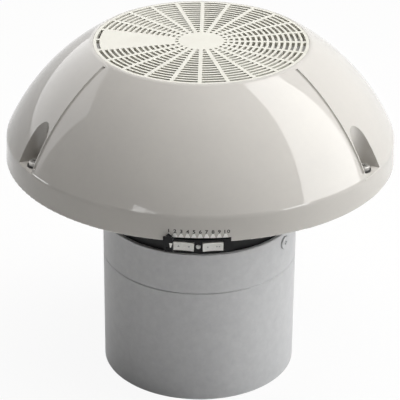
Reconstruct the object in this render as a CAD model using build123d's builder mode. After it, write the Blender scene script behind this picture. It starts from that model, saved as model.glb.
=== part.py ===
from build123d import *
import os
from math import asin, cos, degrees, radians, sin, sqrt, tan

# Powered mushroom roof vent for a caravan. Millimetres, +Z up, control side towards -Y.
# The origin is the centre of the duct's open foot.
os.makedirs("parts", exist_ok=True)

# Duct and collar
tube_r = 63.5
tube_wall = 2.2
duct_h = 79.5
duct_neck_h = 18.0
duct_neck_wall = 1.8
neck_slide_gap = 0.4
collar_h = 28.0
seam_chamfer = 0.7
foot_chamfer = 0.6

# Cap
cap_r = 125.0
cap_wall = 2.5
rim_z = 149.5
skirt_h = 16.0
skirt_draft = 0.73
top_r = 69.5
top_z = 226.5
top_edge_share = 0.8
shoulder_fillet = 7.0
rim_fillet = 1.0

# Fan housing inside the collar
housing_step = 1.3
housing_wall = 2.5
housing_top_gap = 0.5
spigot_gap = 0.1
spigot_clear = 0.8
spigot_top_drop = 0.6
thread_gap = 0.05
hole_gap = 0.25

# Fixings shared by several pieces
fixing_count = 3
fixing_azimuth = 60.0
post_inset = 8.0
overrun = 5.0
recess_l_share = 2.2
recess_w_share = 0.55

# Shutter and its scale of ten marks
scale_marks = 10
scale_angle = 15.5
shutter_openings = 12
shutter_opening_angle = 14.5

# Fan motor
motor_r = 18.0
motor_h = 34.0
bush_h = 4.0
shaft_r = 1.6
bearing_gap = 0.03

# Derived levels and radii
first_angle = fixing_azimuth - 90
fixing_azimuths = [fixing_azimuth + 360 * k / fixing_count for k in range(fixing_count)]
post_circle_r = cap_r - post_inset
collar_z = duct_h
collar_top_z = duct_h + collar_h
collar_bore_r = tube_r - tube_wall
duct_neck_r = collar_bore_r - neck_slide_gap
duct_neck_bore_r = duct_neck_r - duct_neck_wall
shoulder_z = rim_z + skirt_h
shoulder_r = cap_r - skirt_draft
dome_cz = (top_r**2 + top_z**2 - shoulder_r**2 - shoulder_z**2) / (2 * (top_z - shoulder_z))
dome_r = sqrt(top_r**2 + (top_z - dome_cz) ** 2)
inner_dome_r = dome_r - cap_wall
housing_r = collar_bore_r - housing_step
housing_bore_r = housing_r - housing_wall
housing_top_z = rim_z + housing_top_gap
spigot_z = duct_h + duct_neck_h + spigot_clear


def sphere_radius_at(z, ball_r):
    """Distance from the axis to a ball about the dome's centre, at height z."""
    return sqrt(ball_r**2 - (z - dome_cz) ** 2)


def on_ball(ball_r, r):
    """Point of the dome's meridian at distance r from the axis."""
    return (r, dome_cz + sqrt(ball_r**2 - r**2))


def facing(radius, azimuth, z):
    """Plane tangent to a cylinder, turned from the front by azimuth, with +Y of the plane upwards."""
    a = radians(azimuth)
    return Plane(
        origin=(radius * sin(a), -radius * cos(a), z),
        x_dir=(cos(a), sin(a), 0),
        z_dir=(sin(a), -cos(a), 0),
    )


def meridian(azimuth):
    """Vertical plane through the axis; +X of the plane points outwards at that azimuth from the front."""
    a = radians(azimuth)
    return Plane(origin=(0, 0, 0), x_dir=(sin(a), -cos(a), 0), z_dir=(-cos(a), -sin(a), 0))


def annular_sector(inner, outer, span):
    """Flat sector between two radii, centred on +X."""
    with BuildSketch() as sector:
        with BuildLine():
            far = CenterArc((0, 0), outer, -span / 2, span)
            near = CenterArc((0, 0), inner, -span / 2, span)
            Line(far @ 0, near @ 0)
            Line(far @ 1, near @ 1)
        make_face()
    return sector.sketch


def annular_ring(inner, outer):
    """Flat ring between two radii."""
    with BuildSketch() as ring:
        Circle(outer)
        Circle(inner, mode=Mode.SUBTRACT)
    return ring.sketch


def screw(head_r, head_h, shank_r, length, seat):
    """Cross-recessed pan-head screw standing on the plane named seat, its shank below."""
    with BuildPart() as made:
        with BuildSketch(seat):
            Circle(head_r)
        extrude(amount=head_h)
        head_rims = made.edges().filter_by(GeomType.CIRCLE).sort_by(Axis(seat.origin, seat.z_dir))
        fillet(head_rims[-1], head_h / 3)
        with BuildSketch(seat.offset(head_h)):
            Rectangle(recess_l_share * shank_r, recess_w_share * shank_r)
            Rectangle(recess_w_share * shank_r, recess_l_share * shank_r)
        extrude(amount=-head_h / 2, mode=Mode.SUBTRACT)
        with BuildSketch(seat):
            Circle(shank_r)
        extrude(amount=-length)
    return made.part


def save(piece, name):
    """Label a finished piece and write its file."""
    piece.part.label = name
    export_step(piece.part, f"parts/{name}.step")


# Lower duct: goes down through the roof; its reduced neck slides inside the collar
with BuildPart() as lower_duct:
    with BuildSketch(Plane.XZ):
        with BuildLine():
            Polyline(
                (collar_bore_r, 0),
                (tube_r, 0),
                (tube_r, duct_h),
                (duct_neck_r, duct_h),
                (duct_neck_r, duct_h + duct_neck_h),
                (duct_neck_bore_r, duct_h + duct_neck_h),
                (duct_neck_bore_r, duct_h - tube_wall),
                (collar_bore_r, duct_h - 2 * tube_wall),
                close=True,
            )
        make_face()
    revolve(axis=Axis.Z)
    duct_rims = lower_duct.edges().filter_by(GeomType.CIRCLE).sort_by(SortBy.RADIUS)[-2:]
    chamfer(duct_rims.sort_by(Axis.Z)[-1], seam_chamfer)
    chamfer(duct_rims.sort_by(Axis.Z)[0], foot_chamfer)
save(lower_duct, "lower_duct")

# Upper collar: sleeve over the duct's neck, with two spot-faced holes for the housing screws
collar_screw_share = 0.75
collar_screw_azimuths = (fixing_azimuth, fixing_azimuth + 180)
collar_screw_z = collar_z + collar_screw_share * collar_h
collar_screw_r = 1.5
collar_head_r = 4.2
collar_head_h = 1.4
collar_spot_r = 4.7
collar_spot_depth = 0.4
with BuildPart() as upper_collar:
    with BuildSketch(Plane.XY.offset(collar_z)):
        Circle(tube_r)
        Circle(collar_bore_r, mode=Mode.SUBTRACT)
    extrude(amount=collar_h)
    collar_rims = upper_collar.edges().filter_by(GeomType.CIRCLE).sort_by(SortBy.RADIUS)[-2:]
    chamfer(collar_rims.sort_by(Axis.Z)[0], seam_chamfer)
    fillet(collar_rims.sort_by(Axis.Z)[-1], seam_chamfer)
    for azimuth in collar_screw_azimuths:
        with BuildSketch(facing(tube_r - collar_spot_depth, azimuth, collar_screw_z)):
            Circle(collar_spot_r)
        extrude(amount=overrun, mode=Mode.SUBTRACT)
        with BuildSketch(facing(tube_r, azimuth, collar_screw_z)):
            Circle(collar_screw_r + hole_gap)
        extrude(amount=-tube_wall - overrun, mode=Mode.SUBTRACT)
save(upper_collar, "upper_collar")

# Housing screws: broad low heads on the collar's spot faces, shanks into the spigot
collar_screw_l = 4.6
collar_seat_r = tube_r - collar_spot_depth
collar_seats = [facing(collar_seat_r, azimuth, collar_screw_z) for azimuth in collar_screw_azimuths]
collar_screw_set = [
    screw(collar_head_r, collar_head_h, collar_screw_r, collar_screw_l, seat) for seat in collar_seats
]
with BuildPart() as collar_screws:
    add(collar_screw_set)
save(collar_screws, "collar_screws")

# Fan housing: black spigot and neck, with ledges inside
screen_ledge_h = 1.5
screen_ledge_w = 2.5
screen_t = 0.8
seat_ledge_drop = 13.0
seat_ledge_h = 2.0
seat_ledge_w = 2.5
shutter_seat_t = 2.0
shutter_t = 2.0
shutter_gap = 0.3
post_pilot_r = 1.6
ear_reach = 6.0
ear_screw_r = 1.4
lever_w = 5.0
lever_margin = 1.2
rocker_azimuth = 8.5
rocker_w = 13.0
rocker_h = 5.7
rocker_rise = 5.0
rocker_gap = 0.45
switch_body_w = 13.2
switch_body_h = 7.8
pilot_r = 1.6
grommet_azimuth = 150.0
grommet_rise = 18.5
grommet_r = 4.0
well_floor_rise = 0.5
well_floor_t = 2.5
seat_ledge_z = housing_top_z - seat_ledge_drop
ear_circle_r = housing_r + ear_reach
rocker_z = collar_top_z + rocker_rise
grommet_z = collar_top_z + grommet_rise
well_floor_z = shoulder_z + well_floor_rise
spigot_r = collar_bore_r - spigot_gap
screen_z = spigot_z + screen_ledge_h + screen_t
shutter_z = seat_ledge_z + seat_ledge_h + shutter_seat_t + shutter_gap
lever_slot_angle = scale_angle + 2 * degrees((lever_w / 2 + lever_margin) / housing_bore_r)
lever_slot = annular_sector(housing_bore_r - housing_wall, housing_r + housing_wall, lever_slot_angle)
lever_slot = lever_slot.rotate(Axis.Z, -90)
with BuildPart() as fan_housing:
    with BuildSketch(Plane.XZ):
        with BuildLine():
            Polyline(
                (housing_bore_r, spigot_z),
                (spigot_r, spigot_z),
                (spigot_r, collar_top_z - spigot_top_drop),
                (housing_r, collar_top_z - spigot_top_drop),
                (housing_r, housing_top_z),
                (housing_bore_r, housing_top_z),
                (housing_bore_r, seat_ledge_z + seat_ledge_h),
                (housing_bore_r - seat_ledge_w, seat_ledge_z + seat_ledge_h),
                (housing_bore_r - seat_ledge_w, seat_ledge_z),
                (housing_bore_r, seat_ledge_z - seat_ledge_w),
                (housing_bore_r, screen_z + 2 * screen_ledge_h),
                (housing_bore_r - screen_ledge_w, screen_z + screen_ledge_h),
                (housing_bore_r - screen_ledge_w, screen_z),
                (housing_bore_r, screen_z),
                close=True,
            )
        make_face()
    revolve(axis=Axis.Z)
    for azimuth in collar_screw_azimuths:
        with BuildSketch(facing(tube_r, azimuth, collar_screw_z)):
            Circle(collar_screw_r + thread_gap)
        extrude(amount=collar_spot_depth - collar_screw_l - tube_wall, mode=Mode.SUBTRACT)
    # Windows for the two switches, hole for the pilot lamp and hole for the cable grommet
    for azimuth in (-rocker_azimuth, rocker_azimuth):
        with BuildSketch(facing(housing_r - 2 * housing_wall, azimuth, rocker_z)):
            Rectangle(switch_body_w + spigot_gap, switch_body_h + spigot_gap)
        extrude(amount=3 * housing_wall, mode=Mode.SUBTRACT)
    with BuildSketch(facing(housing_r - 2 * housing_wall, 0, rocker_z)):
        Circle(pilot_r)
    extrude(amount=3 * housing_wall, mode=Mode.SUBTRACT)
    with BuildSketch(facing(housing_r - 2 * housing_wall, grommet_azimuth, grommet_z)):
        Circle(grommet_r)
    extrude(amount=3 * housing_wall, mode=Mode.SUBTRACT)
    # Slot in the neck's wall that the shutter's lever sweeps
    with BuildSketch(Plane.XY.offset(shutter_z - shutter_gap)):
        add(lever_slot)
    extrude(amount=shutter_t + 2 * shutter_gap + lever_margin, mode=Mode.SUBTRACT)
save(fan_housing, "fan_housing")

# Arms: three ribbed beams under the motor bracket's ears, each with a post up to the cap's screw well
arm_w = 13.0
arm_h = 6.0
arm_web = 2.5
arm_rise_r = 92.0
arm_tip_rise = 0.2
post_r = 4.2
ear_boss_r = 3.2
arm_tip_z = rim_z + arm_tip_rise
arm_reach = post_circle_r - housing_bore_r
arm_middle_r = post_circle_r - arm_reach / 2
with BuildPart() as cap_arms:
    with BuildSketch(Plane.XY.offset(housing_top_z - arm_h)):
        with PolarLocations(arm_middle_r, fixing_count, start_angle=first_angle):
            Rectangle(arm_reach, arm_w)
            Rectangle(arm_reach, arm_w - 2 * arm_web, mode=Mode.SUBTRACT)
            Rectangle(arm_reach, arm_web)
        with PolarLocations(ear_circle_r, fixing_count, start_angle=first_angle):
            Circle(ear_boss_r)
    extrude(amount=arm_h)
    with BuildSketch(Plane.XY.offset(housing_top_z - arm_web)):
        with PolarLocations(arm_middle_r, fixing_count, start_angle=first_angle):
            Rectangle(arm_reach, arm_w)
    extrude(amount=arm_web)
    with BuildSketch(Plane.XY.offset(housing_top_z - arm_h)):
        with PolarLocations(post_circle_r, fixing_count, start_angle=first_angle):
            Circle(post_r)
    extrude(amount=well_floor_z - well_floor_t - housing_top_z + arm_h)
    with BuildSketch(Plane.XY.offset(housing_top_z - arm_h)):
        Circle(housing_r + thread_gap)
    extrude(amount=arm_h, mode=Mode.SUBTRACT)
    # The underside rises outwards, so that the arms stay hidden above the cap's rim
    for azimuth in fixing_azimuths:
        with BuildSketch(meridian(azimuth)):
            with BuildLine():
                Polyline(
                    (arm_rise_r, housing_top_z - arm_h),
                    (cap_r, housing_top_z - arm_h),
                    (cap_r, arm_tip_z),
                    (post_circle_r, arm_tip_z),
                    close=True,
                )
            make_face()
        extrude(amount=arm_w, both=True, mode=Mode.SUBTRACT)
    with BuildSketch(Plane.XY.offset(arm_tip_z + arm_web)):
        with PolarLocations(post_circle_r, fixing_count, start_angle=first_angle):
            Circle(post_pilot_r)
    extrude(amount=well_floor_z, mode=Mode.SUBTRACT)
    with BuildSketch(Plane.XY.offset(housing_top_z)):
        with PolarLocations(ear_circle_r, fixing_count, start_angle=first_angle):
            Circle(ear_screw_r + thread_gap)
    extrude(amount=arm_web - arm_h, mode=Mode.SUBTRACT)
save(cap_arms, "cap_arms")

# Cap: domed shell with a flat rim round the top opening, three screw wells and a notched skirt
grille_t = 2.5
grille_gap = 0.15
grille_inset = 1.5
lip_w = 1.4
lip_t = 2.2
well_r = 8.1
well_flare = 1.2
well_wall = 2.0
well_inset = 1.6
groove_azimuths = (-55.0, 55.0, 173.8, 186.2)
groove_w = 2.6
groove_depth = 1.3
groove_start_gap = 2.0
groove_end_gap = 1.8
notch_w = 40.4
notch_h = 3.0
tooth_h = 2.6
tooth_foot_share = 0.9
tooth_tip_share = 0.3
grille_r = top_r - grille_inset
lip_r = grille_r - lip_w
well_circle_r = post_circle_r - well_inset
groove_start_r = top_r + groove_start_gap
groove_end_r = shoulder_r - groove_end_gap
groove_round_r = (groove_w**2 / 4 + groove_depth**2) / (2 * groove_depth)
groove_ball_r = dome_r - groove_depth + groove_round_r
skirt_bore_r = cap_r - cap_wall
lip_z = top_z - grille_t - lip_t
inner_top_r = sphere_radius_at(lip_z, inner_dome_r)
inner_shoulder_r = sphere_radius_at(shoulder_z, inner_dome_r)
seat_r = grille_r + grille_gap
top_edge_fillet = top_edge_share * (top_r - seat_r) / tan(asin(top_r / dome_r) / 2)


def dome_arc(ball_r, start_r, end_r):
    """Meridian arc of a ball about the dome's centre."""
    return ThreePointArc(
        on_ball(ball_r, start_r), on_ball(ball_r, (start_r + end_r) / 2), on_ball(ball_r, end_r)
    )


def well_plan(half_width, flare, reach):
    """Plan of a screw well about its inner centre, open towards +X."""
    with BuildSketch() as plan:
        Circle(half_width)
        with BuildLine():
            far_width = half_width + flare
            Polyline((0, -half_width), (0, half_width), (reach, far_width), (reach, -far_width), close=True)
        make_face()
    return plan.sketch


outer_well = well_plan(well_r + well_wall, well_flare, cap_r - well_circle_r + overrun)
inner_well = well_plan(well_r, well_flare, cap_r - well_circle_r + overrun)


def place_wells(plan):
    """Place a well's plan at each fixing."""
    with PolarLocations(well_circle_r, fixing_count, start_angle=first_angle):
        add(plan)


# Blocks of the screw wells, trimmed to the cap's outer surface
with BuildPart() as well_blocks:
    with BuildSketch(Plane.XZ):
        with BuildLine():
            dome_arc(dome_r, top_r, shoulder_r)
            Polyline((shoulder_r, shoulder_z), (cap_r, rim_z), (0, rim_z), (0, top_z), (top_r, top_z))
        make_face()
    revolve(axis=Axis.Z)
    with BuildSketch(Plane.XY.offset(well_floor_z - well_floor_t)):
        place_wells(outer_well)
    extrude(amount=top_z, mode=Mode.INTERSECT)

with BuildPart() as dome_cover:
    with BuildSketch(Plane.XZ) as cap_section:
        with BuildLine():
            dome_arc(dome_r, top_r, shoulder_r)
            Polyline(
                (shoulder_r, shoulder_z),
                (cap_r, rim_z),
                (skirt_bore_r, rim_z),
                (inner_shoulder_r, shoulder_z),
            )
            dome_arc(inner_dome_r, inner_shoulder_r, inner_top_r)
            Polyline(
                (inner_top_r, lip_z),
                (lip_r, lip_z),
                (lip_r, top_z - grille_t),
                (seat_r, top_z - grille_t),
                (seat_r, top_z),
                (top_r, top_z),
            )
        make_face()
        fillet(cap_section.vertices().sort_by_distance((top_r, top_z, 0))[0], top_edge_fillet)
        fillet(cap_section.vertices().sort_by_distance((shoulder_r, shoulder_z, 0))[0], shoulder_fillet)
        fillet(cap_section.vertices().sort_by_distance((cap_r, rim_z, 0))[0], rim_fillet)
    revolve(axis=Axis.Z)
    add(well_blocks)
    with BuildSketch(Plane.XY.offset(well_floor_z)):
        place_wells(inner_well)
    extrude(amount=top_z, mode=Mode.SUBTRACT)
    with BuildSketch(Plane.XY.offset(rim_z)):
        with PolarLocations(post_circle_r, fixing_count, start_angle=first_angle):
            Circle(post_pilot_r + hole_gap)
    extrude(amount=well_floor_z, mode=Mode.SUBTRACT)
    # Round-bottomed grooves down the cap
    groove_first = asin(groove_start_r / dome_r)
    groove_turn = degrees(asin(groove_end_r / dome_r) - groove_first)
    for azimuth in groove_azimuths:
        a = radians(azimuth)
        with BuildSketch(
            Plane(
                origin=(
                    groove_ball_r * sin(groove_first) * sin(a),
                    -groove_ball_r * sin(groove_first) * cos(a),
                    dome_cz + groove_ball_r * cos(groove_first),
                ),
                x_dir=(cos(a), sin(a), 0),
                z_dir=(
                    -cos(groove_first) * sin(a),
                    cos(groove_first) * cos(a),
                    sin(groove_first),
                ),
            )
        ):
            Circle(groove_round_r)
        revolve(
            axis=Axis((0, 0, dome_cz), (cos(a), sin(a), 0)),
            revolution_arc=groove_turn,
            mode=Mode.SUBTRACT,
        )
    # Notch in the front of the skirt
    with BuildSketch(facing(cap_r + overrun, 0, rim_z)):
        with Locations((0, (notch_h - overrun) / 2)):
            Rectangle(notch_w, notch_h + overrun)
    extrude(amount=-2 * overrun - cap_wall, mode=Mode.SUBTRACT)
    # Ten pointed teeth that stand proud of the skirt above the notch, one under each mark of the scale
    mark_pitch = scale_angle / (scale_marks - 1)
    tooth_w = radians(mark_pitch) * cap_r
    for k in range(scale_marks):
        azimuth = (k - (scale_marks - 1) / 2) * mark_pitch
        with BuildSketch(facing(cap_r - cap_wall, azimuth, rim_z + notch_h)):
            with BuildLine():
                foot = tooth_foot_share * tooth_w / 2
                tip = tooth_tip_share * tooth_w / 2
                Polyline((-foot, 0), (foot, 0), (tip, tooth_h), (-tip, tooth_h), close=True)
            make_face()
        extrude(amount=cap_wall)
save(dome_cover, "dome_cover")

# Cap screws with their rubber washers, down in the wells
cap_screw_r = post_pilot_r - thread_gap
cap_head_r = 3.6
cap_head_h = 2.4
cap_screw_l = 11.0
washer_r = 4.6
washer_t = 1.0
cap_seat = Plane.XY.offset(well_floor_z + washer_t)
cap_screw = screw(cap_head_r, cap_head_h, cap_screw_r, cap_screw_l, cap_seat)
with BuildPart() as cap_screws:
    with PolarLocations(post_circle_r, fixing_count, start_angle=first_angle):
        add(cap_screw)
save(cap_screws, "cap_screws")

with BuildPart() as cap_washers:
    with BuildSketch(Plane.XY.offset(well_floor_z)):
        with PolarLocations(post_circle_r, fixing_count, start_angle=first_angle):
            Circle(washer_r)
            Circle(cap_screw_r + hole_gap, mode=Mode.SUBTRACT)
    extrude(amount=washer_t)
save(cap_washers, "cap_washers")

# Top grille: hub, spokes and rings, with a blank plate over two sectors and clips below
hub_r = 14.4
spoke_count = 24
spoke_w = 2.4
slot_rings = 15
slot_w = 2.0
grille_rim_w = 2.0
blank_azimuth = -90.0
blank_sectors = 2
grille_clips = 6
clip_w = 4.0
clip_t = 1.4
clip_hook = 0.9
clip_h = 4.2
slot_field_r = grille_r - grille_rim_w
ring_pitch = (slot_field_r - hub_r - slot_w) / (slot_rings - 1)
bar_w = ring_pitch - slot_w
blank = annular_sector(
    hub_r + ring_pitch - bar_w / 2, slot_field_r - slot_w - bar_w / 2, blank_sectors * 360 / spoke_count
)
blank = blank.rotate(Axis.Z, blank_azimuth - 90)
clip_r = lip_r - grille_gap - clip_t / 2
slot_radii = [hub_r + k * ring_pitch for k in range(slot_rings)]
slot_ring_faces = [annular_ring(r, r + slot_w) for r in slot_radii]
with BuildPart() as top_grille:
    with BuildSketch(Plane.XY.offset(top_z - grille_t)):
        Circle(grille_r)
        add(slot_ring_faces, mode=Mode.SUBTRACT)
        with PolarLocations(slot_field_r / 2 + hub_r / 2, spoke_count, start_angle=-90):
            Rectangle(slot_field_r - hub_r + slot_w, spoke_w)
        add(blank)
    extrude(amount=grille_t)
    with BuildSketch(Plane.XY.offset(top_z - grille_t - clip_h)):
        with PolarLocations(clip_r, grille_clips, start_angle=-90):
            Rectangle(clip_t, clip_w)
    extrude(amount=clip_h)
    with BuildSketch(Plane.XY.offset(top_z - grille_t - clip_h)):
        with PolarLocations(clip_r + clip_hook / 2, grille_clips, start_angle=-90):
            Rectangle(clip_t + clip_hook, clip_w)
    extrude(amount=clip_h - lip_t - grille_gap)
save(top_grille, "top_grille")

# Fly screen on its ledge in the neck, held up by a snap ring
screen_hole = 5.2
screen_pitch = 6.2
screen_count = 17
screen_r = housing_bore_r - hole_gap
ring_w = 2.2
screen_steps = [(i - (screen_count - 1) / 2) * screen_pitch for i in range(screen_count)]
screen_field_r = screen_r - screen_ledge_w - screen_hole / 2
screen_holes = [(x, y) for x in screen_steps for y in screen_steps if sqrt(x**2 + y**2) < screen_field_r]
with BuildPart() as fly_screen:
    with BuildSketch(Plane.XY.offset(screen_z - screen_t)):
        Circle(screen_r)
        with Locations(screen_holes):
            Rectangle(screen_hole, screen_hole, mode=Mode.SUBTRACT)
    extrude(amount=screen_t)
save(fly_screen, "fly_screen")

with BuildPart() as screen_ring:
    with BuildSketch(Plane.XY.offset(spigot_z)):
        Circle(screen_r)
        Circle(screen_r - ring_w, mode=Mode.SUBTRACT)
    extrude(amount=screen_ledge_h)
save(screen_ring, "screen_ring")

# Shutter seat: fixed plate of twelve openings on the neck's ledge, with the boss that the shutter turns on
opening_inner_r = 19.0
opening_margin = 4.5
boss_r = 10.0
boss_bore_r = 4.0
boss_h = 2.9
pivot_gap = 0.05
seat_plate_z = seat_ledge_z + seat_ledge_h
opening = annular_sector(opening_inner_r, housing_bore_r - opening_margin, shutter_opening_angle)
opening_pitch = 360 / shutter_openings
with BuildPart() as shutter_seat:
    with BuildSketch(Plane.XY.offset(seat_plate_z)):
        Circle(housing_bore_r - hole_gap)
        with PolarLocations(0, shutter_openings, start_angle=opening_pitch / 2):
            add(opening, mode=Mode.SUBTRACT)
    extrude(amount=shutter_seat_t)
    with BuildSketch(Plane.XY.offset(seat_plate_z)):
        Circle(boss_r)
    extrude(amount=shutter_seat_t + boss_h)
    with BuildSketch(Plane.XY.offset(seat_plate_z)):
        Circle(boss_bore_r)
    extrude(amount=shutter_seat_t + boss_h, mode=Mode.SUBTRACT)
save(shutter_seat, "shutter_seat")

# Shutter: turning plate, closed at mark one, with a lever that climbs out to the notch
shutter_margin = 1.0
riser_reach = 4.5
riser_t = 2.0
lever_t = 1.6
lever_rise = 2.0
tab_gap = 0.5
lever_azimuth = -scale_angle / 2
shutter_r = housing_bore_r - shutter_margin
riser_r = housing_r + riser_reach
lever_top_z = rim_z + lever_rise
tab_r = cap_r + tab_gap
with BuildPart() as shutter:
    with BuildSketch(Plane.XY.offset(shutter_z)):
        Circle(shutter_r)
        Circle(boss_r + pivot_gap, mode=Mode.SUBTRACT)
        with PolarLocations(0, shutter_openings, start_angle=opening_pitch / 2 - scale_angle):
            add(opening, mode=Mode.SUBTRACT)
    extrude(amount=shutter_t)
    with BuildSketch(meridian(lever_azimuth)):
        with BuildLine():
            Polyline(
                (shutter_r - lever_w / 2, shutter_z),
                (riser_r + riser_t / 2, shutter_z),
                (riser_r + riser_t / 2, lever_top_z - lever_t),
                (tab_r, lever_top_z - lever_t),
                (tab_r, lever_top_z),
                (riser_r - riser_t / 2, lever_top_z),
                (riser_r - riser_t / 2, shutter_z + shutter_t),
                (shutter_r - lever_w / 2, shutter_z + shutter_t),
                close=True,
            )
        make_face()
    extrude(amount=lever_w / 2, both=True)
save(shutter, "shutter")

# Regulator knob: clipped on the lever's end, in front of the skirt, its tip pointing at mark one
tab_t = 2.0
tab_w = 4.8
tab_shift = 0.5
tab_drop = 7.7
tab_rise = 1.2
tip_h = 2.4
grip_count = 3
grip_w = 3.4
grip_h = 0.36
grip_pitch = 0.9
grip_depth = 0.4
with BuildPart() as regulator_knob:
    with BuildSketch(facing(tab_r, lever_azimuth, lever_top_z)):
        with BuildLine():
            Polyline(
                (tab_shift - tab_w / 2, -tab_drop),
                (tab_shift + tab_w / 2, -tab_drop),
                (tab_shift + tab_w / 2, tab_rise),
                (0, tab_rise + tip_h),
                (tab_shift - tab_w / 2, tab_rise),
                close=True,
            )
        make_face()
    extrude(amount=tab_t)
    with BuildSketch(facing(tab_r + tab_t, lever_azimuth, lever_top_z - tab_drop)):
        for k in range(grip_count):
            with Locations((tab_shift, (k + 1) * grip_pitch)):
                Rectangle(grip_w, grip_h)
    extrude(amount=-grip_depth, mode=Mode.SUBTRACT)
save(regulator_knob, "regulator_knob")

# Motor bracket: ring on the neck's top, three struts, motor plate and posts for the rain shield
bracket_t = 3.0
bracket_ring_w = 5.0
strut_w = 7.0
motor_plate_margin = 4.0
shield_post_r = 3.2
shield_post_circle_r = 40.0
shield_gap = 3.0
ear_l = 13.0
ear_w = 9.0
motor_screw_r = 1.3
motor_screw_circle_r = 12.0
motor_screw_count = 2
bush_wall = 1.5
shield_screw_l = 8.0
bracket_z = housing_top_z
motor_plate_r = motor_r + motor_plate_margin
shield_z = bracket_z + bracket_t + motor_h + bush_h + shield_gap
strut_r = housing_r / 2
ear_outer_r = housing_r - bracket_ring_w / 2 + ear_l
ear_middle_r = ear_outer_r - ear_l / 2
with BuildPart() as motor_bracket:
    with BuildSketch(Plane.XY.offset(bracket_z)):
        Circle(housing_r)
        Circle(housing_r - bracket_ring_w, mode=Mode.SUBTRACT)
        Circle(motor_plate_r)
        with PolarLocations(strut_r, fixing_count, start_angle=first_angle):
            Rectangle(housing_r - bracket_ring_w / 2, strut_w)
        with PolarLocations(ear_middle_r, fixing_count, start_angle=first_angle):
            Rectangle(ear_l, ear_w)
    extrude(amount=bracket_t)
    with BuildSketch(Plane.XY.offset(bracket_z)):
        with PolarLocations(shield_post_circle_r, fixing_count, start_angle=fixing_azimuth - 90):
            Circle(shield_post_r)
    extrude(amount=shield_z - bracket_z)
    with BuildSketch(Plane.XY.offset(bracket_z)):
        Circle(boss_r - bush_wall)
        with PolarLocations(ear_circle_r, fixing_count, start_angle=fixing_azimuth - 90):
            Circle(ear_screw_r + hole_gap)
        with PolarLocations(motor_screw_circle_r, motor_screw_count):
            Circle(motor_screw_r + hole_gap)
    extrude(amount=bracket_t, mode=Mode.SUBTRACT)
    with BuildSketch(Plane.XY.offset(shield_z)):
        with PolarLocations(shield_post_circle_r, fixing_count, start_angle=fixing_azimuth - 90):
            Circle(ear_screw_r + thread_gap)
    extrude(amount=-shield_screw_l, mode=Mode.SUBTRACT)
save(motor_bracket, "motor_bracket")

# Motor: flanged case, magnets, wound rotor on a shaft in two sintered bushes, and an end cap
motor_wall = 1.2
motor_flange_t = 1.5
bush_r = 4.0
rotor_r = 12.6
rotor_h = 15.0
magnet_t = 2.8
magnet_angle = 130.0
motor_z = bracket_z + bracket_t
shaft_tail = 2.4
impeller_drop = 20.0
impeller_z = seat_plate_z - impeller_drop
shaft_bottom_z = impeller_z - shaft_tail
with BuildPart() as motor_case:
    with BuildSketch(Plane.XY.offset(motor_z)):
        Circle(motor_r)
        Circle(motor_r - motor_wall, mode=Mode.SUBTRACT)
    extrude(amount=motor_h)
    with BuildSketch(Plane.XY.offset(motor_z + motor_h)):
        Circle(motor_r)
        Circle(bush_r, mode=Mode.SUBTRACT)
    extrude(amount=motor_wall)
    with BuildSketch(Plane.XY.offset(motor_z + motor_h + motor_wall)):
        Circle(bush_r + motor_wall)
        Circle(bush_r, mode=Mode.SUBTRACT)
    extrude(amount=bush_h - motor_wall)
save(motor_case, "motor_case")

with BuildPart() as motor_end_cap:
    with BuildSketch(Plane.XY.offset(motor_z)):
        Circle(motor_r - motor_wall - thread_gap)
        Circle(bush_r, mode=Mode.SUBTRACT)
    extrude(amount=motor_flange_t)
    with BuildSketch(Plane.XY.offset(motor_z)):
        Circle(bush_r + motor_wall)
        Circle(bush_r, mode=Mode.SUBTRACT)
        with PolarLocations(motor_screw_circle_r, motor_screw_count):
            Circle(2 * motor_screw_r)
            Circle(motor_screw_r + thread_gap, mode=Mode.SUBTRACT)
    extrude(amount=bush_h)
    with BuildSketch(Plane.XY.offset(motor_z)):
        with PolarLocations(motor_screw_circle_r, motor_screw_count):
            Circle(motor_screw_r + thread_gap)
    extrude(amount=bush_h, mode=Mode.SUBTRACT)
save(motor_end_cap, "motor_end_cap")

bush_levels = {"lower_bush": motor_z, "upper_bush": motor_z + motor_h}
for bush_name, bush_z in bush_levels.items():
    with BuildPart() as bush:
        with BuildSketch(Plane.XY.offset(bush_z)):
            Circle(bush_r - thread_gap)
            Circle(shaft_r + bearing_gap, mode=Mode.SUBTRACT)
        extrude(amount=bush_h)
    save(bush, bush_name)

magnet_h = 19.0
magnet_outer_r = motor_r - motor_wall - thread_gap
magnet = annular_sector(magnet_outer_r - magnet_t, magnet_outer_r, magnet_angle)
with BuildPart() as motor_magnets:
    with BuildSketch(Plane.XY.offset(motor_z + (motor_h - magnet_h) / 2)):
        with PolarLocations(0, 2):
            add(magnet)
    extrude(amount=magnet_h)
save(motor_magnets, "motor_magnets")

rotor_slots = 5
rotor_slot_r = 3.1
commutator_r = 4.4
commutator_z = motor_z + bush_h + hole_gap
rotor_z = motor_z + (motor_h - rotor_h) / 2
with BuildPart() as motor_rotor:
    with BuildSketch(Plane.XY.offset(rotor_z)):
        Circle(rotor_r)
        with PolarLocations(rotor_r, rotor_slots):
            Circle(rotor_slot_r, mode=Mode.SUBTRACT)
        Circle(shaft_r + thread_gap, mode=Mode.SUBTRACT)
    extrude(amount=rotor_h)
    with BuildSketch(Plane.XY.offset(commutator_z)):
        Circle(commutator_r)
        Circle(shaft_r + thread_gap, mode=Mode.SUBTRACT)
    extrude(amount=rotor_z - commutator_z)
save(motor_rotor, "motor_rotor")

with BuildPart() as motor_shaft:
    with BuildSketch(Plane.XY.offset(shaft_bottom_z)):
        Circle(shaft_r)
    extrude(amount=motor_z + motor_h + bush_h - shaft_bottom_z)
    chamfer(motor_shaft.edges().filter_by(GeomType.CIRCLE), shaft_r / 4)
save(motor_shaft, "motor_shaft")

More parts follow.
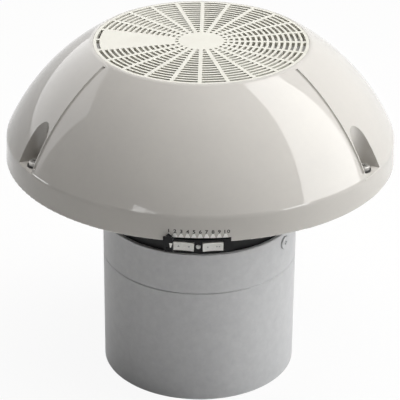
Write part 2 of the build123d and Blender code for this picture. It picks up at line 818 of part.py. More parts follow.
# Impeller: domed hub and twisted blades on the shaft's lower end, with a spring clip under it
blade_count = 7
impeller_gap = 3.5
impeller_hub_r = 15.0
impeller_h = 15.0
blade_root_w = 15.0
blade_tip_w = 22.0
blade_root_t = 1.8
blade_tip_t = 1.2
blade_root_pitch = 40.0
blade_tip_pitch = 20.0
blade_root_share = 0.8
blade_edge_share = 0.45
hub_fillet = 4.0
clip_washer_r = 3.4
clip_washer_t = 0.6
impeller_middle_z = impeller_z + impeller_h / 2
blade_sections = (
    (blade_root_share * impeller_hub_r, blade_root_w, blade_root_t, blade_root_pitch),
    (housing_bore_r - impeller_gap, blade_tip_w, blade_tip_t, blade_tip_pitch),
)
with BuildPart() as impeller:
    with BuildSketch(Plane.XY.offset(impeller_z)):
        Circle(impeller_hub_r)
    extrude(amount=impeller_h)
    fillet(impeller.faces().sort_by(Axis.Z)[0].edges(), hub_fillet)
    for k in range(blade_count):
        for r, w, t, pitch in blade_sections:
            with BuildSketch(facing(r, 360 * k / blade_count, impeller_middle_z)):
                RectangleRounded(w, t, blade_edge_share * t, rotation=pitch)
        loft()
    with BuildSketch(Plane.XY.offset(impeller_z)):
        Circle(shaft_r + thread_gap)
    extrude(amount=impeller_h, mode=Mode.SUBTRACT)
save(impeller, "impeller")

with BuildPart() as impeller_clip:
    with BuildSketch(Plane.XY.offset(impeller_z - hole_gap - clip_washer_t)):
        Circle(clip_washer_r)
        Circle(shaft_r + thread_gap, mode=Mode.SUBTRACT)
    extrude(amount=clip_washer_t)
save(impeller_clip, "impeller_clip")

# Control panel: curved bezel on the neck above the collar, with two rocker switches and a pilot lamp
panel_angle = 42.0
panel_t = 1.6
panel_rail = 1.3
rocker_proud = 0.9
rocker_cap_t = 2.5
rocker_dish_r = 42.0
rocker_swing = 1.1
trunk_w = 4.0
trunk_h = 4.6
trunk_l = 5.0
trunk_slot_w = 6.6
trunnion_r = 0.5
trunnion_l = 0.75
switch_body_l = 8.4
panel_front_r = housing_r + thread_gap + panel_t
rocker_front_r = panel_front_r + rocker_proud
rocker_back_r = rocker_front_r - rocker_cap_t
pivot_r = housing_r + thread_gap + panel_t / 2
body_front_r = rocker_back_r - rocker_swing
cutout_w = rocker_w + 2 * rocker_gap
cutout_h = rocker_h + 2 * rocker_gap
panel_z = rocker_z - cutout_h / 2 - panel_rail
panel_h = cutout_h + 2 * panel_rail
panel_plan = annular_sector(housing_r + thread_gap, panel_front_r, panel_angle)
panel_plan = panel_plan.rotate(Axis.Z, -90)
rockers = {"direction_rocker": -rocker_azimuth, "speed_rocker": rocker_azimuth}


def pivot_plane(azimuth, z):
    """Horizontal plane centred on a rocker's pivot axis."""
    a = radians(azimuth)
    return Plane((pivot_r * sin(a), -pivot_r * cos(a), z))


with BuildPart() as control_panel:
    with BuildSketch(Plane.XY.offset(panel_z)):
        add(panel_plan)
    extrude(amount=panel_h)
    for azimuth in rockers.values():
        with BuildSketch(facing(housing_r - panel_t, azimuth, rocker_z)):
            Rectangle(cutout_w, cutout_h)
        extrude(amount=4 * panel_t, mode=Mode.SUBTRACT)
        with BuildSketch(pivot_plane(azimuth, rocker_z - cutout_h / 2 - trunnion_l)):
            Circle(trunnion_r + pivot_gap)
        extrude(amount=cutout_h + 2 * trunnion_l, mode=Mode.SUBTRACT)
    with BuildSketch(facing(housing_r - panel_t, 0, rocker_z)):
        Circle(pilot_r)
    extrude(amount=4 * panel_t, mode=Mode.SUBTRACT)
save(control_panel, "control_panel")

for rocker_name, azimuth in rockers.items():
    with BuildPart() as rocker:
        with BuildSketch(facing(rocker_back_r, azimuth, rocker_z)):
            Rectangle(rocker_w, rocker_h)
        extrude(amount=rocker_cap_t)
        dish = facing(rocker_front_r + rocker_dish_r - rocker_proud / 2, azimuth, rocker_z)
        with BuildSketch(Plane(dish.origin - (0, 0, rocker_h), x_dir=dish.x_dir, z_dir=(0, 0, 1))):
            Circle(rocker_dish_r)
        extrude(amount=2 * rocker_h, mode=Mode.SUBTRACT)
        with BuildSketch(facing(rocker_back_r, azimuth, rocker_z)):
            Rectangle(trunk_w, trunk_h)
        extrude(amount=-trunk_l)
        with BuildSketch(pivot_plane(azimuth, rocker_z - rocker_h / 2 - rocker_gap - trunnion_l + hole_gap)):
            Circle(trunnion_r)
        extrude(amount=rocker_h + 2 * rocker_gap + 2 * trunnion_l - 2 * hole_gap)
    save(rocker, rocker_name)

with BuildPart() as switch_bodies:
    for azimuth in rockers.values():
        with BuildSketch(facing(body_front_r, azimuth, rocker_z)):
            Rectangle(switch_body_w, switch_body_h)
        extrude(amount=-switch_body_l)
        with BuildSketch(facing(body_front_r, azimuth, rocker_z)):
            Rectangle(trunk_slot_w, trunk_h + 2 * rocker_gap)
        extrude(amount=-trunk_l, mode=Mode.SUBTRACT)
        with BuildSketch(facing(body_front_r - switch_body_l, azimuth, rocker_z)):
            with GridLocations(switch_body_w / 3, switch_body_h, 3, 1):
                Rectangle(panel_t, trunk_h)
        extrude(amount=-2 * panel_t)
save(switch_bodies, "switch_bodies")

with BuildPart() as pilot_lamp:
    with BuildSketch(facing(housing_bore_r - panel_t, 0, rocker_z)):
        Circle(pilot_r - thread_gap)
    extrude(amount=panel_front_r - housing_bore_r + 1.5 * panel_t)
    fillet(pilot_lamp.faces().sort_by(Axis.Y)[0].edges(), pilot_r / 2)
save(pilot_lamp, "pilot_lamp")

# Rain shield: shallow cone on the bracket's posts, with a drip lip
shield_r = 84.0
shield_t = 1.6
shield_flat_r = 48.0
shield_fall = 6.0
drip_lip = 4.0
shield_head_r = 3.0
shield_head_h = 2.0
with BuildPart() as rain_shield:
    with BuildSketch(Plane.XZ):
        with BuildLine():
            Polyline(
                (0, shield_z),
                (shield_flat_r, shield_z),
                (shield_r - shield_t, shield_z - shield_fall),
                (shield_r - shield_t, shield_z - shield_fall - drip_lip),
                (shield_r, shield_z - shield_fall - drip_lip),
                (shield_r, shield_z - shield_fall + shield_t),
                (shield_flat_r, shield_z + shield_t),
                (0, shield_z + shield_t),
                close=True,
            )
        make_face()
    revolve(axis=Axis.Z)
    with BuildSketch(Plane.XY.offset(shield_z)):
        with PolarLocations(shield_post_circle_r, fixing_count, start_angle=fixing_azimuth - 90):
            Circle(ear_screw_r + hole_gap)
    extrude(amount=shield_t, mode=Mode.SUBTRACT)
save(rain_shield, "rain_shield")

# Screws of the shield, the bracket and the motor
shield_seat = Plane.XY.offset(shield_z + shield_t)
shield_screw = screw(shield_head_r, shield_head_h, ear_screw_r, shield_screw_l, shield_seat)
with BuildPart() as shield_screws:
    with PolarLocations(shield_post_circle_r, fixing_count, start_angle=first_angle):
        add(shield_screw)
save(shield_screws, "shield_screws")

bracket_screw_l = bracket_t + arm_web
bracket_seat = Plane.XY.offset(bracket_z + bracket_t)
bracket_screw = screw(shield_head_r, shield_head_h, ear_screw_r, bracket_screw_l, bracket_seat)
with BuildPart() as bracket_screws:
    with PolarLocations(ear_circle_r, fixing_count, start_angle=first_angle):
        add(bracket_screw)
save(bracket_screws, "bracket_screws")

motor_head_r = 2.6
under_bracket = Plane((0, 0, bracket_z), z_dir=(0, 0, -1))
motor_screw = screw(motor_head_r, shield_head_h, motor_screw_r, bracket_t + bush_h / 2, under_bracket)
with BuildPart() as motor_screws:
    with PolarLocations(motor_screw_circle_r, motor_screw_count):
        add(motor_screw)
save(motor_screws, "motor_screws")

# Terminal block on the rear arm, its two screws, the motor's tags and the two leads between them
block_l = 18.0
block_w = 14.0
block_h = 9.0
block_seat_share = 0.461
terminal_spacing = 7.0
terminal_r = 2.2
terminal_depth = 2.0
lead_r = 0.9
lead_bend_r = 10.0
lead_exit = 4.0
lead_rise = 5.0
lead_entry_h = 6.5
lead_post_gap = 1.8
tag_l = 4.5
tag_t = 0.8
tag_h = 2.6
block_run = post_circle_r - post_r - ear_outer_r
block_y = ear_outer_r + block_seat_share * block_run
lead_z = motor_z + lead_rise
block_entry_z = housing_top_z + lead_entry_h
block_face_y = block_y - block_l / 2
with BuildPart() as terminal_block:
    with BuildSketch(Plane.XY.offset(housing_top_z)):
        with Locations((0, block_y)):
            Rectangle(block_w, block_l)
    extrude(amount=block_h)
    chamfer(terminal_block.faces().sort_by(Axis.Z)[-1].edges(), tag_t)
    with BuildSketch(Plane.XY.offset(housing_top_z + block_h)):
        with Locations((0, block_y)):
            with GridLocations(terminal_spacing, block_l / 2, 2, 2):
                Circle(terminal_r)
    extrude(amount=-terminal_depth, mode=Mode.SUBTRACT)
save(terminal_block, "terminal_block")

with BuildPart() as terminal_screws:
    with BuildSketch(Plane.XY.offset(housing_top_z + block_h - terminal_depth)):
        with Locations((0, block_y)):
            with GridLocations(terminal_spacing, block_l / 2, 2, 2):
                Circle(terminal_r - thread_gap)
    extrude(amount=terminal_depth / 2)
    with BuildSketch(Plane.XY.offset(housing_top_z + block_h - terminal_depth / 2)):
        with Locations((0, block_y)):
            with GridLocations(terminal_spacing, block_l / 2, 2, 2):
                Rectangle(2 * terminal_r, terminal_r / 4)
    extrude(amount=-terminal_depth / 4, mode=Mode.SUBTRACT)
save(terminal_screws, "terminal_screws")

lead_side = terminal_spacing / 2
with BuildPart() as motor_tags:
    with BuildSketch(Plane.XZ.offset(-motor_r)):
        with Locations((-lead_side, lead_z), (lead_side, lead_z)):
            Rectangle(tag_t, tag_h)
    extrude(amount=-tag_l)
save(motor_tags, "motor_tags")

lead_names = {"positive_lead": -1, "negative_lead": 1}
for lead_name, side in lead_names.items():
    route = [
        (side * lead_side, motor_r + tag_l, lead_z),
        (side * lead_side, motor_r + tag_l + lead_exit, lead_z),
        (side * (shield_post_r + lead_r + lead_post_gap), shield_post_circle_r, lead_z),
        (side * lead_side, block_face_y - lead_bend_r, block_entry_z),
        (side * lead_side, block_face_y, block_entry_z),
    ]
    with BuildPart() as lead:
        with BuildLine() as lead_path:
            FilletPolyline(*route, radius=lead_bend_r)
        with BuildSketch(Plane(route[0], x_dir=(1, 0, 0), z_dir=(0, 1, 0))):
            Circle(lead_r)
        sweep(path=lead_path.line)
    save(lead, lead_name)

# Rubber grommet for the supply cable, in the neck's wall
grommet_bore_r = 2.2
grommet_flange = 1.8
grommet_flange_t = 1.5
with BuildPart() as cable_grommet:
    inside = facing(housing_bore_r - grommet_flange_t, grommet_azimuth, grommet_z)
    with BuildSketch(inside):
        Circle(grommet_r + grommet_flange)
    extrude(amount=grommet_flange_t - 2 * hole_gap)
    with BuildSketch(inside):
        Circle(grommet_r - thread_gap)
    extrude(amount=housing_wall + 2 * grommet_flange_t)
    with BuildSketch(facing(housing_r + hole_gap, grommet_azimuth, grommet_z)):
        Circle(grommet_r + grommet_flange)
    extrude(amount=grommet_flange_t)
    with BuildSketch(inside):
        Circle(grommet_bore_r)
    extrude(amount=housing_wall + 3 * grommet_flange_t, mode=Mode.SUBTRACT)
save(cable_grommet, "cable_grommet")
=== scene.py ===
import bpy
import numpy as np
from mathutils import Matrix, Vector


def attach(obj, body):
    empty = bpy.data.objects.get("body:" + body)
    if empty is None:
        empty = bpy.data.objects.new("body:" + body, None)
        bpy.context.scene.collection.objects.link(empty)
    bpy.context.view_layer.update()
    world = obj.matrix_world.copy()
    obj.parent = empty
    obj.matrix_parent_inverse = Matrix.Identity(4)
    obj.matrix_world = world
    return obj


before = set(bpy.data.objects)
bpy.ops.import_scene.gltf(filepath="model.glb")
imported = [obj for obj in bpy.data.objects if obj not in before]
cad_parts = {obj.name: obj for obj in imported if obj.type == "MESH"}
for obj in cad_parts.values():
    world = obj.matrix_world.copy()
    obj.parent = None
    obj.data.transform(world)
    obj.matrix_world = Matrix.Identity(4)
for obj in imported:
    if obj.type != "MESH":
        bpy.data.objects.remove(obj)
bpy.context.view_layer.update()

sight_rise = np.radians(26.94)
sight_turn = np.radians(0.65)
sight_roll = np.radians(0.51)
sight_distance = 1.270
sight_aim = Vector((0.0001, 0.0, 0.1141))
focal_mm = 174.44
film_mm = 36.0
away = Vector(
    (
        np.cos(sight_rise) * np.sin(sight_turn),
        -np.cos(sight_rise) * np.cos(sight_turn),
        np.sin(sight_rise),
    )
)
level = Vector((np.cos(sight_turn), np.sin(sight_turn), 0.0))
upright = away.cross(level)
across = level * np.cos(sight_roll) + upright * np.sin(sight_roll)
aloft = upright * np.cos(sight_roll) - level * np.sin(sight_roll)
lens = bpy.data.cameras.new("front_camera")
lens.lens = focal_mm
lens.sensor_width = film_mm
lens.sensor_fit = "HORIZONTAL"
viewer = bpy.data.objects.new("front_camera", lens)
turned = Matrix((across, aloft, away)).transposed().to_4x4()
viewer.matrix_world = Matrix.Translation(sight_aim + sight_distance * away) @ turned
bpy.context.scene.collection.objects.link(viewer)
bpy.context.scene.camera = viewer
bpy.context.scene.view_settings.view_transform = "Standard"

# --- The sheet of white paper it stands on, and the air round it ---
# A broad matt sheet under the tube's foot takes the shadow, and its own glow is for the eye only.
# The room behind it is the same white to the eye and in reflections, and a warm dim grey as light.


class Wire:
    """An output socket. Arithmetic on it adds Math nodes, so a formula is written as it is read."""

    def __init__(self, finish, socket):
        self.finish = finish
        self.socket = socket

    def calc(self, operation, *others):
        """One Math node, with this socket first."""
        values = dict(enumerate((self, *others)))
        return self.finish.add("ShaderNodeMath", {"operation": operation}, values)

    def __add__(self, other):
        return self.calc("ADD", other)

    def __mul__(self, other):
        return self.calc("MULTIPLY", other)

    def __sub__(self, other):
        return self.calc("SUBTRACT", other)

    def __rsub__(self, other):
        return self.calc("MULTIPLY_ADD", -1.0, other)

    __radd__ = __add__
    __rmul__ = __mul__


class Finish:
    """A node tree being written. add() puts in a node: its type, its settings, then its inputs."""

    def __init__(self, tree):
        self.tree = tree
        tree.nodes.clear()

    def add(self, kind, settings, inputs, output=0):
        """The node's settings are set first, then each input is given a value or a link."""
        node = self.tree.nodes.new(kind)
        for key, value in settings.items():
            setattr(node, key, value)
        for key, value in inputs.items():
            if isinstance(value, Wire):
                self.tree.links.new(value.socket, node.inputs[key])
            else:
                node.inputs[key].default_value = value
        return Wire(self, node.outputs[output]) if len(node.outputs) else None

    def blend(self, share, first, second):
        """One Mix node between two colours."""
        kind = {"data_type": "RGBA", "clamp_factor": True}
        return self.add("ShaderNodeMix", kind, {0: share, 6: first, 7: second}, 2)

    def spots(self, size, detail=2.0, shift=0.0):
        """Noise whose lumps are about that size, in metres, on the object's own coordinates."""
        place = self.add("ShaderNodeTexCoord", {}, {}, 3)
        place = self.add("ShaderNodeMapping", {}, {0: place, 1: (shift, shift, shift)})
        values = {"Vector": place, "Scale": 1 / size, "Detail": detail, "Roughness": 0.55}
        return self.add("ShaderNodeTexNoise", {}, values, 0)


def tone(red, green, blue):
    """A colour from its three screen values of 0 to 255, made linear."""
    shares = np.array((red, green, blue)) / 255
    return (*np.where(shares > 0.04045, ((shares + 0.055) / 1.055) ** 2.4, shares / 12.92), 1.0)


room_light = 0.03
air = bpy.data.worlds.new("white_room")
air.use_nodes = True
bpy.context.scene.world = air
room = Finish(air.node_tree)
to_eye = room.add("ShaderNodeLightPath", {}, {}, 0)
to_gloss = room.add("ShaderNodeLightPath", {}, {}, 3)
through = room.add("ShaderNodeLightPath", {}, {}, 6)
seen = to_eye.calc("MAXIMUM", to_gloss).calc("MAXIMUM", through)
haze = room.blend(seen, tone(255, 247, 240), (1.0, 1.0, 1.0, 1.0))
strength = seen * (1 - room_light) + room_light
glow = room.add("ShaderNodeBackground", {}, {"Color": haze, "Strength": strength})
room.add("ShaderNodeOutputWorld", {}, {0: glow})

sheet_half = 6.0
glow_share = 0.93
fibre_size = 0.004
sheet = bpy.data.meshes.new("white_sheet")
sheet_corners = [(-1, -1), (1, -1), (1, 1), (-1, 1)]
sheet_points = [(x * sheet_half, y * sheet_half, 0.0) for x, y in sheet_corners]
sheet.from_pydata(sheet_points, [], [(0, 1, 2, 3)])
paper = bpy.data.objects.new("white_sheet", sheet)
bpy.context.scene.collection.objects.link(paper)
matt_paper = bpy.data.materials.new("matt_paper")
matt_paper.use_nodes = True
pulp = Finish(matt_paper.node_tree)
eye_on_paper = pulp.add("ShaderNodeLightPath", {}, {}, 0)
gloss_on_paper = pulp.add("ShaderNodeLightPath", {}, {}, 3)
clear_on_paper = pulp.add("ShaderNodeLightPath", {}, {}, 6)
paper_seen = eye_on_paper.calc("MAXIMUM", gloss_on_paper).calc("MAXIMUM", clear_on_paper)
fibre = pulp.spots(fibre_size, 3.0)
paper_white = pulp.blend(fibre, tone(236, 235, 233), tone(244, 244, 243))
flat_paper = pulp.add("ShaderNodeBsdfDiffuse", {}, {"Color": paper_white})
paper_glow = pulp.add("ShaderNodeEmission", {}, {"Color": (1.0, 1.0, 1.0, 1.0), "Strength": 1.0})
laid = pulp.add("ShaderNodeMixShader", {}, {0: paper_seen * glow_share, 1: flat_paper, 2: paper_glow})
pulp.add("ShaderNodeOutputMaterial", {}, {0: laid})
sheet.materials.append(matt_paper)

# --- The lamps ---
# A tall soft window stands to the right, its near edge leaning back, and shows on the cap as a sharp
# bright side. A broad pale ceiling hangs over the vent, two dim lamps fill the right, and two low
# lamps in front light the tube. Apart from the window, none of them shows in the gloss.


def soft_window(name, centre, facing, upward, width, height, radiance, hue):
    """An area lamp whose light per square metre and steradian is the radiance given."""
    lamp = bpy.data.lights.new(name, "AREA")
    lamp.shape = "RECTANGLE"
    lamp.size = width
    lamp.size_y = height
    lamp.energy = radiance * np.pi * width * height
    lamp.color = hue
    stand = bpy.data.objects.new(name, lamp)
    back = -Vector(facing).normalized()
    side = Vector(upward).cross(back).normalized()
    rise = back.cross(side)
    turn = Matrix((side, rise, back)).transposed().to_4x4()
    stand.matrix_world = Matrix.Translation(Vector(centre)) @ turn
    bpy.context.scene.collection.objects.link(stand)
    return stand


window_lean = np.radians(21)
window_up = Vector((0.0, np.sin(window_lean), np.cos(window_lean)))
window_along = Vector((0.0, np.cos(window_lean), -np.sin(window_lean)))
window_edge = Vector((0.8, -0.085, 1.52))
window_w = 0.6
window_h = 2.4
window_radiance = 4.35
window_hue = (1.0, 1.0, 0.985)
window_centre = window_edge + window_along * window_w / 2
soft_window(
    "right_window",
    window_centre,
    (-1, 0, 0),
    window_up,
    window_w,
    window_h,
    window_radiance,
    window_hue,
)
vent_middle = Vector((0.0, 0.0, 0.12))
fills = {
    "ceiling": ((0.0, 0.1, 1.9), 1.4, 1.4, 3.8, (1.0, 0.985, 0.965)),
    "right_high": ((1.4, 0.2, 1.3), 1.0, 1.0, 1.0, (1.0, 1.0, 0.99)),
    "right_wall": ((1.7, 0.1, 0.5), 1.0, 1.0, 0.45, (1.0, 1.0, 1.0)),
    "right_low": ((0.9, -1.4, 0.2), 0.8, 0.4, 1.75, (0.98, 0.99, 1.0)),
    "front_low": ((0.25, -1.7, 0.2), 1.2, 0.4, 0.25, (0.98, 0.99, 1.0)),
}
for name, (centre, width, height, radiance, hue) in fills.items():
    stand = soft_window(
        name, centre, vent_middle - Vector(centre), (0, 0.1, 1), width, height, radiance, hue
    )
    stand.visible_glossy = False

# --- What the cap's skin mirrors ---
# A wide window behind on the left shows on that side of the cap, above a sharp sill. It is hung in
# three sheets, each reaching further forward than the last, so that it fades towards the front.
# Small panes close to the floor show as short dashes along the shoulder. Each entry gives a place,
# a width, a height, a radiance, and how far the pane is moved forward in its own plane.
glints = {
    "left_window": ((-1.42, 1.19, 1.08), 2.1, 1.5, 0.5, 0.0),
    "left_window_middle": ((-1.43, 1.2, 1.08), 2.7, 1.5, 0.45, 0.3),
    "left_window_front": ((-1.44, 1.21, 1.08), 3.5, 1.5, 0.4, 0.7),
    "left_front_pane": ((-0.975, -1.72, 0.69), 0.5, 0.58, 1.9, 0.0),
    "left_front_pane_end": ((-1.085, -1.66, 0.69), 0.26, 0.58, 2.2, 0.0),
    "right_front_pane": ((1.61, -1.17, 0.34), 0.56, 0.2, 8.0, 0.0),
    "left_side_pane": ((-1.967, 0.224, 0.08), 0.45, 0.14, 7.0, 0.0),
}
for name, (middle, width, height, radiance, forward) in glints.items():
    inward = Vector((-middle[0], -middle[1], 0.0)).normalized()
    centre = Vector(middle) + forward * inward.cross(Vector((0.0, 0.0, -1.0)))
    stand = soft_window(name, centre, inward, (0, 0, 1), width, height, radiance, (1.0, 1.0, 1.0))
    stand.visible_diffuse = False

# --- Tube and collar ---
# The tube is a plain sleeve of grey moulded plastic that goes through the roof.
# The collar slides over its neck; the broad heads of its screws are lacquered in the same grey.


def moulded(name, pale, deep, blotch, grain, rough, relief, coat=0.0, sheen=0.5):
    """Moulded plastic. The colour wanders between two close tones in lumps of the blotch's size; the
    roughness wanders with finer lumps, and the tool's grain is a bump of that size and height. The
    sheen is the strength of the plastic's own gloss, and the coat that of a hard skin over it."""
    material = bpy.data.materials.new(name)
    material.use_nodes = True
    mould = Finish(material.node_tree)
    wander = mould.spots(blotch, 4.0)
    fleck = mould.spots(grain * 3, 2.0, 0.3)
    wander_share = 0.65
    contrast = 2.2
    share = (wander * wander_share + fleck * (1 - wander_share) - 0.5) * contrast + 0.5
    colour = mould.blend(share, deep, pale)
    tooled = mould.spots(grain, 3.0, 0.7)
    bump = {"Height": tooled, "Strength": 1.0, "Distance": relief}
    face = mould.add("ShaderNodeBump", {}, bump)
    values = {
        "Base Color": colour,
        "Roughness": (fleck - 0.5) * 0.2 + rough,
        "Specular IOR Level": sheen,
        "Coat Weight": coat,
        "Coat Roughness": 0.05,
        "Normal": face,
    }
    surface = mould.add("ShaderNodeBsdfPrincipled", {}, values)
    mould.add("ShaderNodeOutputMaterial", {}, {0: surface})
    return material


def dress(material, *nodes):
    """Gives the material to every slot of those nodes of the solid model."""
    for node in nodes:
        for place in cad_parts[node].material_slots:
            place.material = material


grey_tube = moulded("grey_tube", tone(201, 202, 204), tone(188, 189, 192), 0.006, 0.0008, 0.42, 0.00003)
dress(grey_tube, "lower_duct", "upper_collar", "collar_screws")

# --- Cap ---
# One blown or moulded shell of glossy off-white plastic, with a hard shiny skin.
# Its skirt carries the scale; three screws in deep wells hold it to the arms below.
white_cap = moulded(
    "white_cap", tone(196, 193, 188), tone(191, 188, 184), 0.03, 0.0012, 0.3, 0.0000015, 1.0, 0.0
)
dress(white_cap, "dome_cover")

# --- Grille ---
# A flat disc of creamier plastic let into the cap's top, with rings of fine slots between spokes.
# It is less shiny than the cap. The terminal block inside is moulded in the same plastic.
cream_grille = moulded(
    "cream_grille", tone(216, 215, 206), tone(208, 206, 196), 0.012, 0.0009, 0.36, 0.00001, 0.35
)
dress(cream_grille, "top_grille", "terminal_block")

# --- Black mouldings ---
# The housing, the cap's arms and the motor's bracket are one family of black, finely grained parts.
# The control strip, its switches, the shutter and its pointer are a darker, smoother plastic.
black_moulding = moulded(
    "black_moulding", tone(26, 26, 27), tone(15, 15, 16), 0.008, 0.0007, 0.48, 0.00003, 0.0, 0.25
)
dress(black_moulding, "fan_housing", "cap_arms", "motor_bracket", "motor_end_cap", "screen_ring")
black_strip = moulded(
    "black_strip", tone(16, 16, 18), tone(9, 9, 11), 0.006, 0.0005, 0.4, 0.00001, 0.0, 0.2
)
dress(black_strip, "control_panel", "switch_bodies", "regulator_knob", "shutter")

# --- Grey mouldings ---
# Fan, shutter seat and rain shield are grey parts, seen only from below or through the slots.
# They are plain moulded pieces with the sheen that comes off a polished tool.
grey_fan = moulded("grey_fan", tone(150, 152, 154), tone(136, 138, 140), 0.01, 0.0006, 0.35, 0.00001)
dress(grey_fan, "impeller", "shutter_seat")
grey_shield = moulded(
    "grey_shield", tone(172, 168, 164), tone(156, 152, 149), 0.012, 0.0008, 0.4, 0.00001
)
dress(grey_shield, "rain_shield")

# --- Rockers and pilot lamp ---
# Two white switch rockers with dished faces, and between them the lens of a small lamp.
# The rockers are polished plastic under a thin gloss, and the lens is a milky, glossier one.
white_rocker = moulded(
    "white_rocker", tone(236, 236, 232), tone(228, 228, 224), 0.003, 0.0004, 0.25, 0.000003, 0.5
)
dress(white_rocker, "direction_rocker", "speed_rocker")
milky_lens = moulded(
    "milky_lens", tone(214, 216, 214), tone(198, 200, 198), 0.0015, 0.0004, 0.2, 0.000002, 0.6
)
dress(milky_lens, "pilot_lamp")


# --- Metal: screws, clip, shaft, motor can, tags and bushes ---
# Plated steel screws, a rolled zinc-coated can, iron laminations, bronze bushes and ferrite magnets.
# Each is turned, rolled or pressed, so its marks run finer than its colour.


def plated(name, pale, deep, blotch, rough, relief, metal=1.0):
    """Metal. Tone and roughness wander together, and a fine bump breaks the shine."""
    material = bpy.data.materials.new(name)
    material.use_nodes = True
    plate = Finish(material.node_tree)
    wander = plate.spots(blotch, 3.0)
    rub = plate.spots(blotch / 6, 2.0, 0.4)
    colour = plate.blend((wander - 0.5) * 2.0 + 0.5, deep, pale)
    bump = {"Height": rub, "Strength": 1.0, "Distance": relief}
    values = {
        "Base Color": colour,
        "Metallic": metal,
        "Roughness": (rub - 0.5) * 0.3 + rough,
        "Normal": plate.add("ShaderNodeBump", {}, bump),
    }
    surface = plate.add("ShaderNodeBsdfPrincipled", {}, values)
    plate.add("ShaderNodeOutputMaterial", {}, {0: surface})
    return material


screw_plate = plated("screw_plate", tone(205, 206, 208), tone(176, 178, 182), 0.0015, 0.3, 0.000003)
dress(
    screw_plate, "shield_screws", "bracket_screws", "motor_screws", "motor_shaft", "impeller_clip"
)
dull_plate = plated("dull_plate", tone(196, 194, 190), tone(160, 158, 155), 0.0015, 0.55, 0.000004)
dress(dull_plate, "cap_screws")
motor_can = plated("motor_can", tone(190, 192, 194), tone(150, 153, 157), 0.006, 0.38, 0.000003)
dress(motor_can, "motor_case")
wire_cloth = plated("wire_cloth", tone(150, 150, 150), tone(120, 120, 121), 0.004, 0.45, 0.000004)
dress(wire_cloth, "fly_screen")
rotor_iron = plated("rotor_iron", tone(96, 92, 92), tone(66, 64, 66), 0.003, 0.5, 0.000005)
dress(rotor_iron, "motor_rotor")
bronze = plated("bronze", tone(196, 160, 108), tone(160, 124, 78), 0.0008, 0.4, 0.000006)
dress(bronze, "lower_bush", "upper_bush", "terminal_screws", "motor_tags")
ferrite = plated("ferrite", tone(62, 60, 60), tone(44, 43, 44), 0.002, 0.6, 0.00001, 0.0)
dress(ferrite, "motor_magnets")

# --- Soft parts: leads, grommet and screw washers ---
# Two thin leads with a waxy red and black skin run from the terminal block to the motor.
# The grommet and the washers are matt black rubber.
red_skin = moulded(
    "red_skin", tone(186, 38, 32), tone(164, 28, 25), 0.004, 0.0004, 0.35, 0.000004, 0.2
)
dress(red_skin, "positive_lead")
black_skin = moulded(
    "black_skin", tone(36, 36, 38), tone(24, 24, 26), 0.004, 0.0004, 0.35, 0.000004, 0.2
)
dress(black_skin, "negative_lead")
matt_rubber = moulded("matt_rubber", tone(48, 47, 46), tone(34, 33, 33), 0.003, 0.0004, 0.7, 0.00002)
dress(matt_rubber, "cable_grommet", "cap_washers")

# --- Scale on the skirt ---
# Ten numbers are printed in dark grey over the ten teeth, and each tooth's face is painted white.
# Ink and paint lie a hair proud of the cap, one over each stop of the regulator's pointer.
mark_count = 10
mark_turn = np.radians(15.5 / 9)
mark_first = np.radians(-15.5 / 2)
rim_r = 0.125
rim_z = 0.1495
skirt_h = 0.016
skirt_draft = 0.00073
ink_t = 0.00006
number_h = 0.0023
number_z = 0.15635
number_widening = (1.2, 1.0, 1.0)
number_bold = 0.03
number_spacing = 1.25
ten_shift = 0.0009


def wrapped(flat, turn, radius, height, draft=0.0):
    """Points (across, up, out) bent round the axis: across becomes an arc from the given turn, up is
    added to the height, and out to the radius, which draws in by the draft for each metre up."""
    across, up, out = np.asarray(flat, float).T
    reach = radius - draft * (height + up - rim_z) + out
    turns = turn + across / radius
    return np.stack((reach * np.sin(turns), -reach * np.cos(turns), height + up), axis=1)


def piece(name, points, faces, material, body, finish_slot):
    """One object from its points and faces, with its finish, riding on its body."""
    mesh = bpy.data.meshes.new(name)
    mesh.from_pydata([tuple(point) for point in points], [], faces)
    mesh.materials.append(material)
    thing = bpy.data.objects.new(name, mesh)
    bpy.context.scene.collection.objects.link(thing)
    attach(thing, body)
    return thing


def joined(parts):
    """Several pieces, each its points and faces, as one: all points in a row, faces renumbered."""
    starts = np.cumsum([0] + [len(points) for points, _ in parts])
    faces = [
        tuple(int(start) + corner for corner in face)
        for start, (_, part_faces) in zip(starts, parts)
        for face in part_faces
    ]
    return np.concatenate([points for points, _ in parts]), faces


def lettered(text, height):
    """A number as a closed plate one unit thick: points (across, up, out), centred, and faces."""
    curve = bpy.data.curves.new("number", "FONT")
    curve.body = text
    curve.size = 1.0
    curve.extrude = 0.5
    curve.offset = number_bold
    curve.space_character = number_spacing
    curve.align_x = "CENTER"
    curve.resolution_u = 4
    holder = bpy.data.objects.new("number", curve)
    bpy.context.scene.collection.objects.link(holder)
    graph = bpy.context.evaluated_depsgraph_get()
    mesh = bpy.data.meshes.new_from_object(holder.evaluated_get(graph))
    points = np.empty(len(mesh.vertices) * 3)
    mesh.vertices.foreach_get("co", points)
    points = points.reshape(-1, 3)
    faces = [tuple(face.vertices) for face in mesh.polygons]
    low, high = points.min(axis=0), points.max(axis=0)
    size = height / (high[1] - low[1])
    middle = (low + high) / 2
    points = (points - middle) * (size, size, 1.0)
    bpy.data.objects.remove(holder)
    bpy.data.curves.remove(curve)
    bpy.data.meshes.remove(mesh)
    return points, faces


dark_ink = moulded("dark_ink", tone(58, 56, 54), tone(44, 42, 41), 0.0008, 0.0003, 0.5, 0.000002)
numbers = []
for mark in range(mark_count):
    points, faces = lettered(str(mark + 1), number_h)
    points = points * number_widening * (1.0, 1.0, ink_t)
    points = points + (ten_shift * (mark == mark_count - 1), 0.0, 0.0)
    turn = mark_first + mark * mark_turn
    numbers.append((wrapped(points, turn, rim_r, number_z, skirt_draft / skirt_h), faces))
piece("scale_numbers", *joined(numbers), dark_ink, "head", "housing_black")

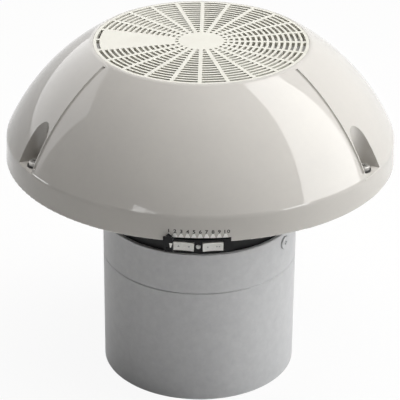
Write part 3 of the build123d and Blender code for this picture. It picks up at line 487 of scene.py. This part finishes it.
white_paint = moulded(
    "white_paint", tone(246, 246, 243), tone(238, 238, 235), 0.001, 0.0003, 0.4, 0.000002
)
tooth_w = mark_turn * rim_r
tooth_foot = 0.9 * tooth_w / 2
tooth_tip = 0.3 * tooth_w / 2
tooth_h = 0.0026
tooth_z = rim_z + 0.0030


def plate_on(turn, radius, height, outline, thick, dish_r=np.inf):
    """A flat outline (across, up) set upright on the plane that touches that radius at that turn, and
    given a thickness outwards. On a dished face it stands out by across squared over twice the dish's
    radius. It gives its points, back ring then front ring, and its closed faces."""
    outline = np.asarray(outline, float)
    count = len(outline)
    side = np.array((np.cos(turn), np.sin(turn), 0.0))
    out = np.array((np.sin(turn), -np.cos(turn), 0.0))
    rise = np.array((0.0, 0.0, 1.0))
    reach = radius + outline[:, :1] ** 2 / (2 * dish_r)
    ring = outline[:, :1] * side + outline[:, 1:] * rise + rise * height
    points = np.concatenate((ring + out * reach, ring + out * (reach + thick)))
    walls = [(k, (k + 1) % count, count + (k + 1) % count, count + k) for k in range(count)]
    return points, [tuple(range(count))[::-1], tuple(range(count, 2 * count)), *walls]


tooth = ((-tooth_foot, 0.0), (tooth_foot, 0.0), (tooth_tip, tooth_h), (-tooth_tip, tooth_h))
teeth = [
    plate_on(mark_first + mark * mark_turn, rim_r, tooth_z, tooth, ink_t) for mark in range(mark_count)
]
piece("tooth_faces", *joined(teeth), white_paint, "head", "rocker_white")

# --- Pointer's mark ---
# A short white wedge is painted on the regulator's pointer, to the right of its tip.
# It is paint on the knob's flat front, and moves with it.
pointer_r = 0.1275
pointer_z = 0.1482
wedge = ((0.0013, -0.0016), (0.0019, -0.0016), (0.0027, 0.0014), (0.0008, 0.0014))
wedge_plate = plate_on(mark_first, pointer_r, pointer_z, wedge, ink_t)
piece("pointer_line", *wedge_plate, white_paint, "shutter", "rocker_white")

# --- Symbols on the rockers ---
# Printed in pale grey on the dished faces: an arrow in and an arrow out for the air's direction,
# one dot and two dots for the two speeds. They tip with their rockers.
rocker_turn = np.radians(8.5)
rocker_face_r = 0.0621
rocker_dish_r = 0.042
rocker_middle_z = 0.1125
symbol_reach = 0.0033
dot_r = 0.00048
dot_corners = 12
dot_gap = 0.0008
arrow = np.array(((-0.0008, -0.0006), (0.0008, -0.0006), (0.0, 0.0009)))
circle = np.linspace(0, 2 * np.pi, dot_corners, endpoint=False)
dot = dot_r * np.stack((np.cos(circle), np.sin(circle)), axis=1)
grey_ink = moulded(
    "grey_ink", tone(172, 173, 175), tone(160, 161, 164), 0.0006, 0.0003, 0.45, 0.000002
)


def printed(name, turn, outlines, body):
    """One piece from closed outlines (across, up) printed on a rocker's dished face."""
    plates = [
        plate_on(turn, rocker_face_r, rocker_middle_z, outline, ink_t, rocker_dish_r)
        for outline in outlines
    ]
    piece(name, *joined(plates), grey_ink, body, "washer_rubber")


left_place = np.array((-symbol_reach, 0.0))
right_place = np.array((symbol_reach, 0.0))
dot_step = np.array((dot_gap, 0.0))
arrows = (arrow + left_place, -arrow + right_place)
dots = (dot + left_place, dot + right_place - dot_step, dot + right_place + dot_step)
printed("direction_arrows", -rocker_turn, arrows, "direction_rocker")
printed("speed_dots", rocker_turn, dots, "speed_rocker")
